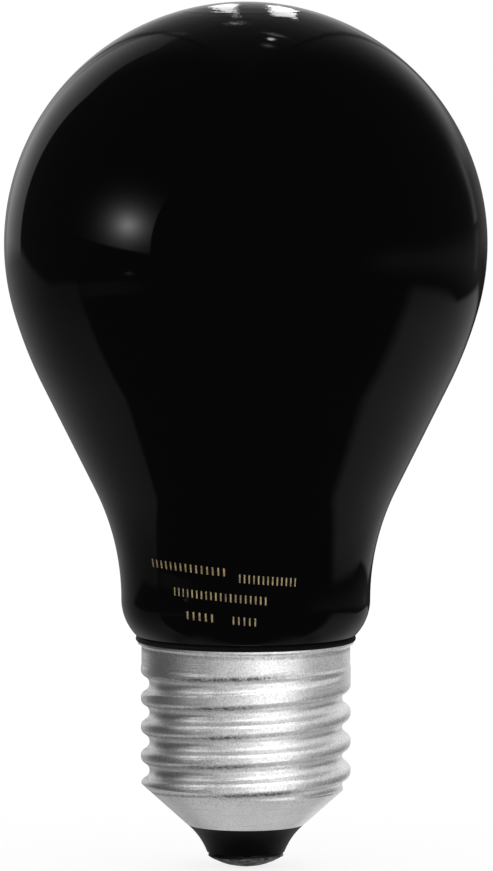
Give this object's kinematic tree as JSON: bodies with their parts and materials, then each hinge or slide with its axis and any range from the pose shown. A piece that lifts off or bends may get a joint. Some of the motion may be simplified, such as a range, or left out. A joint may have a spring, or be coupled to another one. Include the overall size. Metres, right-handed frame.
{
  "type": "uv black light bulb",
  "caption": "Pear-shaped lamp with an opaque glossy black glass bulb and a rolled E27 screw cap with an insulated centre contact.",
  "frame": {"origin": "tip of the centre contact, on the lamp's axis", "axes": "+Z along the lamp's axis from the contact to the top of the glass, +X to the right and +Y away from the camera in the picture's view"},
  "size_m": [0.06, 0.06, 0.1078],
  "materials": {
    "black_glass": "glossy opaque black filter glass",
    "basing_cement": "black set cement, slightly rough",
    "cap_aluminium": "satin rolled sheet with fine scuffs",
    "insulator_glass": "glossy cast black glass",
    "contact_brass": "bright stamped",
    "solder": "dull rough solder"
  },
  "bodies": {
    "root": {"glass_bulb": "black_glass", "cement_ring": "basing_cement", "screw_shell": "cap_aluminium", "base_insulator": "insulator_glass", "contact_plate": "contact_brass", "contact_solder": "solder"}
  },
  "joints": []
}
